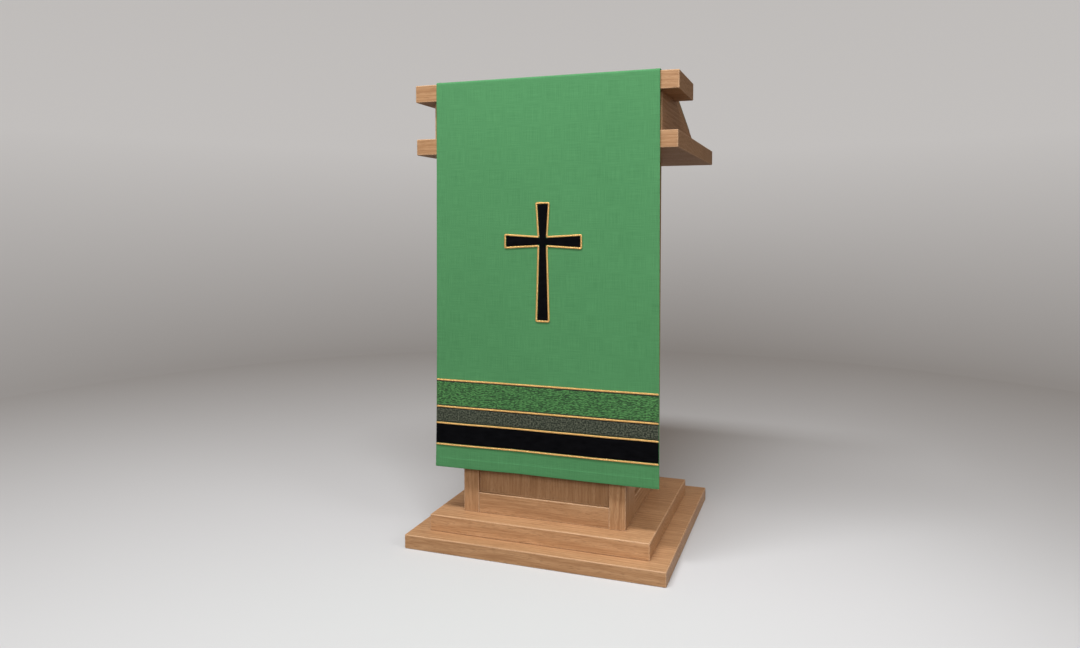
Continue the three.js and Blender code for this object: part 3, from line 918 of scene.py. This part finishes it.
def crinkles(across, along):
    """Short wavy ridges, from 0 in the valleys to 1 on the ridges."""
    sway = hills(across, along, 6 * MM, 14 * MM, CRINKLE_SEED)
    rows = 0.5 + 0.5 * np.sin(2 * math.pi * (along / CRINKLE_ROW + CRINKLE_SWAY * sway))
    lumps = hills(across, along, 3.4 * MM, 2.2 * MM, CRINKLE_SEED + 1)
    return np.clip(0.45 * rows + 0.75 * lumps - 0.1, 0, 1)


sample = crinkles(np.linspace(0, 0.1, 500), np.linspace(0.16, 0.21, 500))
print("crinkles run from", round(float(sample.min()), 2), "to", round(float(sample.max()), 2))

# %% Brocade finish
# Painted shade in the crinkle valleys, the cloth's green on the slopes, painted light on the ridges.
BROCADE_VALLEY_SHADE = (0.006, 0.030, 0.007, 1.0)
BROCADE_SLOPE = (0.033, 0.142, 0.035, 1.0)
BROCADE_RIDGE_LIGHT = (0.098, 0.305, 0.088, 1.0)


def make_brocade():
    """Green cloth with painted shade in the valleys of its crinkles and painted light on their ridges."""
    gloss = {"Roughness": 0.62, "Specular_IOR_Level": 0.4, "Sheen_Weight": 0.1}
    material, tree, shader = new_finish("green_brocade", **gloss)
    place = cloth_place(tree)
    weave = woven(tree, place, 1200.0, 33.3)
    edge = shade_band_edges(tree, place, "band_bright_green")
    height = put(tree, "ShaderNodeAttribute", attribute_name="crinkle").outputs["Fac"]
    # Painted shade in the valleys and painted light on the ridges, from the stored crinkle height.
    colour = between(tree, spread(tree, height, 0.2, 0.5), BROCADE_VALLEY_SHADE, BROCADE_SLOPE)
    colour = between(tree, spread(tree, height, 0.5, 0.95), colour, BROCADE_RIDGE_LIGHT)
    colour = between(tree, reckon(tree, "MULTIPLY", weave["Threads"], 0.2), colour, BROCADE_SLOPE)
    # Painted shadow of the cords along the band's edges.
    colour = between(tree, edge["Shadowed"], colour, EDGE_SHADOW_COLOUR)
    tree.links.new(colour, shader.inputs["Base Color"])
    raise_surface(tree, shader, reckon(tree, "ADD", weave["Threads"], edge["Ridges"]), 0.2 * MM, 0.6)
    return material


brocade = make_brocade()
print("made", brocade.name)

# %% [markdown]
# ## Sewing the bands on
# Each band is a sheet like the fall itself, lifted so that its back lies on the cloth, and over the
# hem at the sides it lies that much higher. Only the brocade needs a fine grid. Inside the strip of
# painted shadow along its edges, the crinkles are pressed flat.

# %% Bands
PATCH_THICKNESS = 1.3 * MM
PATCH_RIM = 0.45 * MM
SEWN_GAP = 0.05 * MM
CRINKLE_DEPTH = 0.55 * MM
PRESSED = 1.5 * MM
BAND_CLOTHS = {
    "band_black": {"finish": velvet, "slot": "black_velvet", "step": 6 * MM, "relief": 0.0},
    "band_grey": {"finish": speckled, "slot": "grey_cloth", "step": 6 * MM, "relief": 0.0},
    "band_bright_green": {
        "finish": brocade,
        "slot": "bright_green_cloth",
        "step": 1.5 * MM,
        "relief": CRINKLE_DEPTH,
    },
}


def sew_band(name, cloth):
    """One band on the fall, with the height of its crinkles stored at every point."""
    half = CLOTH_WIDTH / 2 - TRIM_INSET
    low, high = band_ends[name]
    across_stops = rimmed_stops(-half, half, cloth["step"], PATCH_RIM)
    along_stops = rimmed_stops(low, high, cloth["step"], PATCH_RIM)
    places, quads = grid(across_stops, along_stops)
    to_side = half - np.abs(places[:, 0])
    to_edge = np.minimum(places[:, 1] - low, high - places[:, 1])
    ridges = crinkles(places[:, 0], places[:, 1])
    pressed = np.clip((to_edge - EDGE_SHADOW_WIDTH) / PRESSED, 0, 1)
    thickness = PATCH_THICKNESS + cloth["relief"] * (ridges - 0.5) * pressed
    lower = CLOTH_HALF + HEM_FACE * in_hem(to_side + TRIM_INSET, HEM_SIDE) + SEWN_GAP
    upper = lower + thickness * rounded(np.minimum(to_side, to_edge), PATCH_RIM)
    piece = two_faced(f"{name}_patch", places, quads, upper, lower, cloth["finish"], cloth["slot"], name)
    heights = piece.data.attributes.new("crinkle", "FLOAT", "POINT")
    heights.data.foreach_set("value", np.concatenate([ridges, ridges]).astype(np.float32))
    return piece


band_pieces = [sew_band(name, cloth) for name, cloth in BAND_CLOTHS.items()]
print("bands sewn on:", len(band_pieces))

# %% [markdown]
# ## The velvet cross
# The cross is a patch of the same velvet with straight arms that widen a little to their ends. A
# single filled outline would have long thin faces that can't be padded. So it is built from a small
# square where the arms meet and a tapering grid for each arm. Its outline is exact, and its face
# rises softly from the edge like a padded patch. Everything follows from six sizes.

# %% Outline of the cross
CROSS_BOTTOM = 381 * MM
CROSS_HEIGHT = 278 * MM
CROSS_SPAN = 186 * MM
CROSSING = CROSS_BOTTOM + 0.68 * CROSS_HEIGHT
CROSS_WAIST = 8 * MM
CROSS_END = 13 * MM


def cross_outline(margin):
    """Corners of the cross grown by a margin, anticlockwise from the foot."""
    waist = CROSS_WAIST + margin
    end = CROSS_END + margin
    reach = CROSS_SPAN / 2 + margin
    right = [
        (end, CROSS_BOTTOM - margin),
        (waist, CROSSING - waist),
        (reach, CROSSING - end),
        (reach, CROSSING + end),
        (waist, CROSSING + waist),
        (end, CROSS_BOTTOM + CROSS_HEIGHT + margin),
    ]
    return np.array(right + [(-x, y) for x, y in reversed(right)])


print("the cross has", len(cross_outline(0.0)), "corners")

# %% Square and arms
ARM_CELLS = 18
ARM_STEP = 3 * MM
ARM_UP = CROSS_BOTTOM + CROSS_HEIGHT - CROSSING
ARM_DOWN = CROSSING - CROSS_BOTTOM
ARM_ENDS = [CROSS_SPAN / 2, ARM_UP, CROSS_SPAN / 2, ARM_DOWN]
crowded = -np.cos(np.linspace(0, math.pi, ARM_CELLS + 1))


def arm(quarter_turns, length):
    """A tapering grid of places from the waist to an arm's end, turned round the crossing."""
    out = rimmed_stops(CROSS_WAIST, length, ARM_STEP, PATCH_RIM)
    half = CROSS_WAIST + (out - CROSS_WAIST) / (length - CROSS_WAIST) * (CROSS_END - CROSS_WAIST)
    side = crowded[:, None] * half[None, :]
    out = np.broadcast_to(out, side.shape)
    cos, sin = [(1, 0), (0, 1), (-1, 0), (0, -1)][quarter_turns]
    return np.stack([out * cos - side * sin, out * sin + side * cos], axis=-1)


def joined(blocks):
    """One grid from several, whose shared points are joined."""
    faces = []
    count = 0
    for block in blocks:
        faces.append(grid_faces(*block.shape[:2]) + count)
        count += block.shape[0] * block.shape[1]
    points = np.concatenate([block.reshape(-1, 2) for block in blocks])
    keys = np.round(points / (0.001 * MM)).astype(np.int64)
    _, first, index = np.unique(keys, axis=0, return_index=True, return_inverse=True)
    return points[first], index.reshape(-1)[np.concatenate(faces)]


square = np.stack(np.meshgrid(crowded * CROSS_WAIST, crowded * CROSS_WAIST), axis=-1)
cross_places, cross_quads = joined([square] + [arm(turn, length) for turn, length in enumerate(ARM_ENDS)])
cross_places[:, 1] += CROSSING
print("the cross has", len(cross_quads), "cells")

# %% Padded cross
CROSS_PADDING = 0.7 * MM
PADDING_REACH = 4 * MM


def distance_to(outline, places):
    """Distance from each place to the nearest side of an outline."""
    nearest = np.full(len(places), np.inf)
    for start, end in zip(outline, np.roll(outline, -1, axis=0)):
        side = end - start
        share = np.clip((places - start) @ side / (side @ side), 0, 1)
        nearest = np.minimum(nearest, np.linalg.norm(places - start - share[:, None] * side, axis=1))
    return nearest


to_edge = distance_to(cross_outline(0.0), cross_places)
padded = PATCH_THICKNESS + CROSS_PADDING * (1 - np.exp(-to_edge / PADDING_REACH))
lower = np.full(len(cross_places), CLOTH_HALF + SEWN_GAP)
upper = lower + padded * rounded(to_edge, PATCH_RIM)
cross = two_faced(
    "cross_velvet", cross_places, cross_quads, upper, lower, velvet, "black_velvet", "cross_patch"
)
print("its middle is", round(float((upper - lower).max()) / MM, 2), "mm thick")

# %% [markdown]
# ## Gold cord
# The cord along the bands and round the cross is three gold strands twisted together and sewn down
# flat. It could be a bump on a plain bead, but the twist is what gives gold cord its string of
# small lights. So each strand is a real tube that winds round the cord's line. The gold itself is
# fine metal thread wrapped round a core, half metal and half yarn, with tiny ridges where it winds.

# %% Gold finish
GOLD_DEEP = (0.520, 0.250, 0.055, 1.0)
GOLD_BRIGHT = (0.930, 0.640, 0.260, 1.0)
WRAPS_PER_METRE = 1600.0


def make_gold():
    """Metal thread wrapped round a core."""
    material, tree, shader = new_finish("gold_thread", Metallic=0.55, Specular_IOR_Level=0.5)
    place = cloth_place(tree)
    parts = put(tree, "ShaderNodeSeparateXYZ", {0: place}).outputs
    wraps = reckon(tree, "MULTIPLY_ADD", parts["X"], WRAPS_PER_METRE, parts["Y"])
    ridges = reckon(tree, "SINE", reckon(tree, "MULTIPLY", wraps, 2 * math.pi))
    glints = spread(tree, noise(tree, place, (700.0, 6.0, 1.0)), 0.3, 0.7)
    tree.links.new(between(tree, glints, GOLD_DEEP, GOLD_BRIGHT), shader.inputs["Base Color"])
    tree.links.new(spread(tree, glints, 0.0, 1.0, 0.46, 0.28), shader.inputs["Roughness"])
    raise_surface(tree, shader, ridges, 0.05 * MM, 0.5)
    return material


gold = make_gold()
print("made", gold.name)

# %% [markdown]
# ## Winding the strands
# Winding is easiest beside a straight line: a strand's middle turns round it as it goes, and a ring
# of points round that middle makes the tube. Only then is the tube carried to its route on the
# cloth, where every point is set off to the side and lifted by what it had beside the straight
# line. A round cord sewn down is pressed a little, so heights are scaled down.

# %% Strands beside a straight line
STRANDS = 3
TWIST_PITCH = 10.5 * MM
STEPS_PER_TWIST = 14
STRAND_RADIUS = 1.28 * MM
WIND_RADIUS = 1.2 * MM
RING_SIDES = 7
ring_angles = 2 * math.pi * np.arange(RING_SIDES) / RING_SIDES


def strand_rings(distance, twist_rate, start_turn, size):
    """Rings of one strand: how far along, across and up each of their points lies."""
    turn = twist_rate * distance + start_turn
    lead = WIND_RADIUS * twist_rate
    none = np.zeros_like(distance)
    outward = np.stack([none, np.cos(turn), np.sin(turn)], axis=-1)
    ahead = np.stack([none + 1, -lead * np.sin(turn), lead * np.cos(turn)], axis=-1)
    ahead /= np.linalg.norm(ahead, axis=1, keepdims=True)
    sideways = np.cross(ahead, outward)
    size = size[:, None]
    middle = np.stack([distance, none, none], axis=-1) + WIND_RADIUS * size * outward
    rings = [STRAND_RADIUS * size * (math.cos(a) * outward + math.sin(a) * sideways) for a in ring_angles]
    return np.stack([middle + ring for ring in rings], axis=1)


def tube_faces(rings, closed):
    """Faces between rings of points. An open tube gets a cap at each end."""
    faces = []
    for ring in range(rings if closed else rings - 1):
        here = ring * RING_SIDES
        after = (ring + 1) % rings * RING_SIDES
        for k in range(RING_SIDES):
            m = (k + 1) % RING_SIDES
            faces.append((here + k, here + m, after + m, after + k))
    if not closed:
        faces.append(tuple(range(RING_SIDES - 1, -1, -1)))
        faces.append(tuple(range((rings - 1) * RING_SIDES, rings * RING_SIDES)))
    return faces


print("one twist of cord has", STRANDS * STEPS_PER_TWIST * RING_SIDES, "faces")

# %% Strands on the cloth
FLATNESS = 0.6
AIM_REACH = 0.6 * MM


def sewn_down(rings, route, walked):
    """Carries a strand from its straight line to a route on the fall."""

    def at(distance):
        """The place on the route at a distance walked along it."""
        return np.stack([np.interp(distance, walked, route[:, axis]) for axis in (0, 1)], axis=-1)

    aim = at(rings[..., 0] + AIM_REACH) - at(rings[..., 0] - AIM_REACH)
    aim /= np.linalg.norm(aim, axis=-1, keepdims=True)
    to_side = np.stack([-aim[..., 1], aim[..., 0]], axis=-1)
    place = at(rings[..., 0]) + to_side * rings[..., 1:2]
    lift = CLOTH_HALF + SEWN_GAP + FLATNESS * (WIND_RADIUS + STRAND_RADIUS + rings[..., 2])
    return on_fall(place[..., 0], place[..., 1], lift)


cord_height = FLATNESS * 2 * (WIND_RADIUS + STRAND_RADIUS)
print("a cord stands", round(cord_height / MM, 2), "mm above the cloth")

# %% Cord on a route
CORD_TAPER = 3 * MM


def twisted_cord(name, route, closed, node):
    """Three strands on a route on the fall. A closed route is laid out three times, end to end."""
    if closed:
        route = np.vstack([route, route, route, route[:1]])
    walked = np.concatenate([[0.0], np.cumsum(np.linalg.norm(np.diff(route, axis=0), axis=1))])
    length = walked[-1] / 3 if closed else walked[-1]
    first = length if closed else 0.0
    twists = round(length / TWIST_PITCH)
    distance = first + np.linspace(0.0, length, twists * STEPS_PER_TWIST + 1)
    size = rounded(np.minimum(distance, length - distance), CORD_TAPER)
    if closed:
        distance = distance[:-1]
        size = np.ones(len(distance))
    twist_rate = 2 * math.pi * twists / length
    points = []
    faces = []
    for strand in range(STRANDS):
        start_turn = 2 * math.pi * strand / STRANDS
        rings = strand_rings(distance, twist_rate, start_turn, size)
        start = strand * len(distance) * RING_SIDES
        points.append(sewn_down(rings, route, walked).reshape(-1, 3))
        faces += [tuple(start + corner for corner in face) for face in tube_faces(len(distance), closed)]
    winding = np.stack(np.meshgrid(distance, ring_angles / (2 * math.pi), indexing="ij"), axis=-1)
    surface_places = np.tile(winding.reshape(-1, 2), (STRANDS, 1))
    print(name, "is", round(length, 3), "m long with", twists, "twists")
    return add_piece(name, np.concatenate(points), faces, surface_places, gold, node)


print("cords taper over", CORD_TAPER / MM, "mm at an open end")

# %% Cords along the bands
ROUTE_STEP = 4 * MM
half = CLOTH_WIDTH / 2 - TRIM_INSET
stops = np.linspace(-half, half, int(2 * half / ROUTE_STEP))
for number, middle in enumerate(cord_middles, start=1):
    route = np.stack([stops, np.full(len(stops), middle)], axis=-1)
    twisted_cord(f"edging_{number}_twist", route, False, f"edging_{number}")

# %% [markdown]
# ## The cord round the cross
# A cord can't turn a sharp corner, so the outline's corners are first rounded with short curves. It
# goes round as one closed loop with a whole number of twists, and its end meets its start without a
# join.

# %% Cord round the cross
CORNER_RADIUS = 2.6 * MM
CORNER_STEPS = 5


def softened(outline, radius):
    """An outline whose corners are rounded with short curves."""
    route = []
    for i, corner in enumerate(outline):
        back = outline[i - 1] - corner
        onward = outline[(i + 1) % len(outline)] - corner
        start = back / np.linalg.norm(back) * radius
        end = onward / np.linalg.norm(onward) * radius
        for share in np.linspace(0, 1, CORNER_STEPS):
            route.append(corner + (1 - share) ** 2 * start + share**2 * end)
    return np.array(route)


cross_route = softened(cross_outline(SEAM + CORD_WIDTH / 2), CORNER_RADIUS)
twisted_cord("edging_cross_twist", cross_route, True, "edging_cross")
